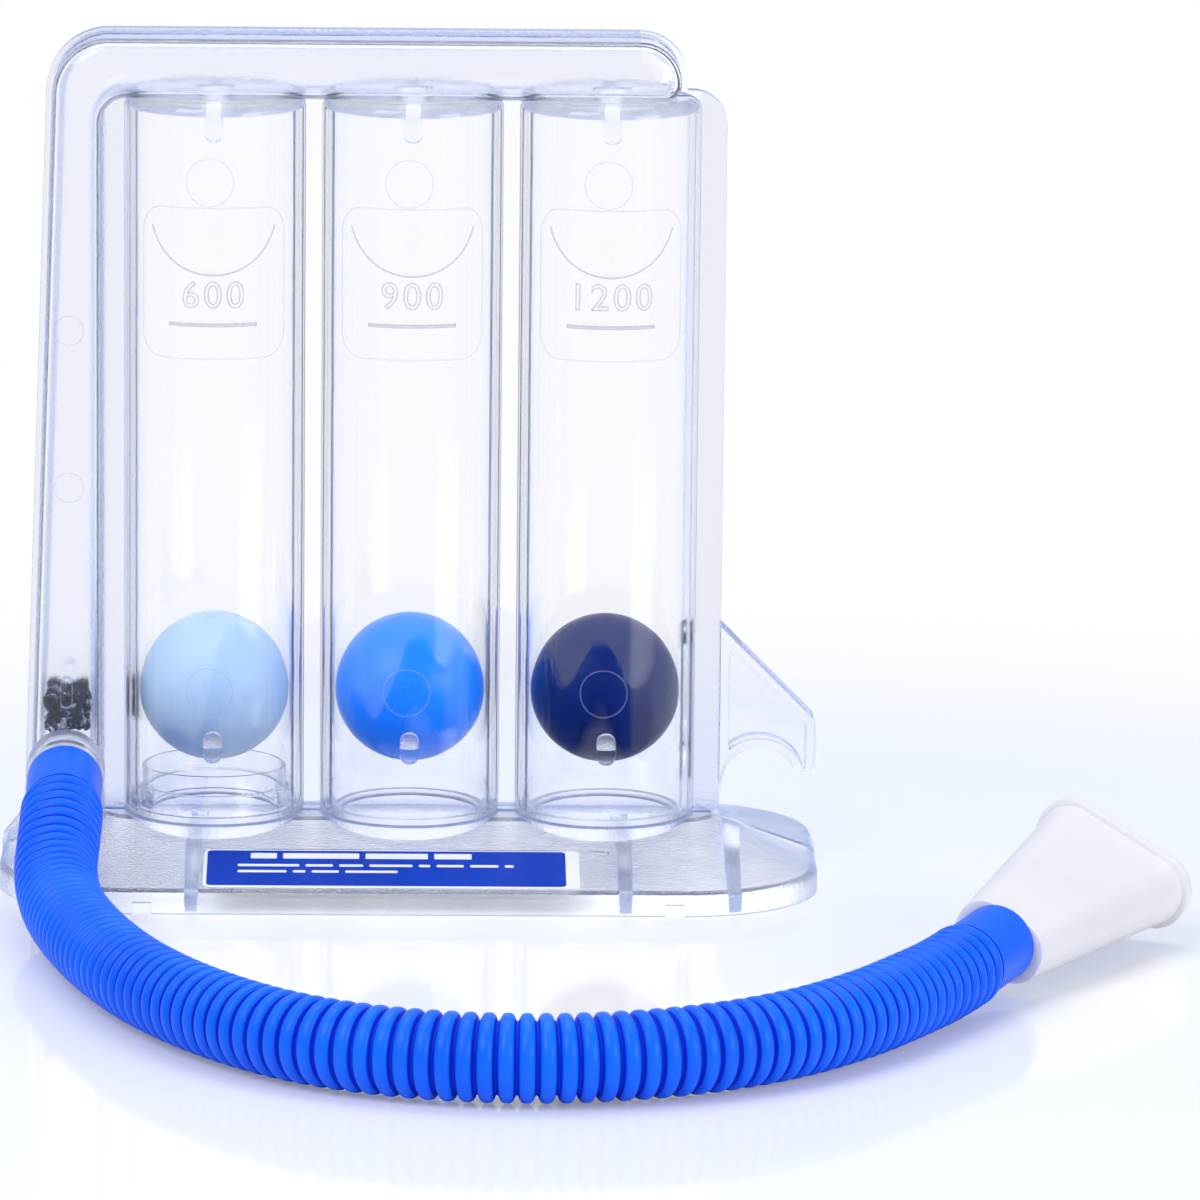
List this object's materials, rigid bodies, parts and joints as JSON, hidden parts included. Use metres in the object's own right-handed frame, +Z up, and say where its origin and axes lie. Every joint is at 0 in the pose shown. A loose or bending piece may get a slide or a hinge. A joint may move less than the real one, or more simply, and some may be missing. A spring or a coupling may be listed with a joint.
{
  "type": "incentive spirometer",
  "caption": "Clear breathing trainer: ball chambers and an air duct on a foot, a hooked tube holder, a corrugated hose and a flared mouthpiece.",
  "frame": {"origin": "bottom centre of the foot, on the surface that it stands on", "axes": "+X to the right seen from the front, +Y to the back, +Z up along the ball chambers"},
  "size_m": [0.2076, 0.2151, 0.151],
  "materials": {
    "clear_plastic": "gloss",
    "ring_plastic": "gloss",
    "filter_foam": "matte",
    "blue_label": "satin",
    "pale_ball": "gloss",
    "blue_ball": "gloss",
    "dark_ball": "gloss",
    "blue_hose": "gloss",
    "white_mouthpiece": "satin"
  },
  "bodies": {
    "tower": {"base": "clear_plastic", "front_shell": "clear_plastic", "rear_shell": "clear_plastic", "tube_holder": "clear_plastic", "flow_ring": "ring_plastic", "inlet_port": "clear_plastic", "port_filter": "filter_foam", "label": "blue_label", "hose": "blue_hose", "hose_cuff_port": "blue_hose", "hose_cuff_mouthpiece": "blue_hose"},
    "ball_left": {"ball_600": "pale_ball"},
    "ball_middle": {"ball_900": "blue_ball"},
    "ball_right": {"ball_1200": "dark_ball"},
    "mouthpiece": {"mouthpiece": "white_mouthpiece"}
  },
  "joints": [
    {"name": "ball_600_rise", "type": "slide", "parent": "tower", "child": "ball_left", "axis": [0, 0, 1], "range_m": [0, 0.09]},
    {"name": "ball_900_rise", "type": "slide", "parent": "tower", "child": "ball_middle", "axis": [0, 0, 1], "range_m": [0, 0.09]},
    {"name": "ball_1200_rise", "type": "slide", "parent": "tower", "child": "ball_right", "axis": [0, 0, 1], "range_m": [0, 0.09]},
    {"name": "mouthpiece_pull", "type": "slide", "parent": "tower", "child": "mouthpiece", "axis": [0.465, 0.8812, 0.085], "range_m": [0, 0.014]}
  ]
}
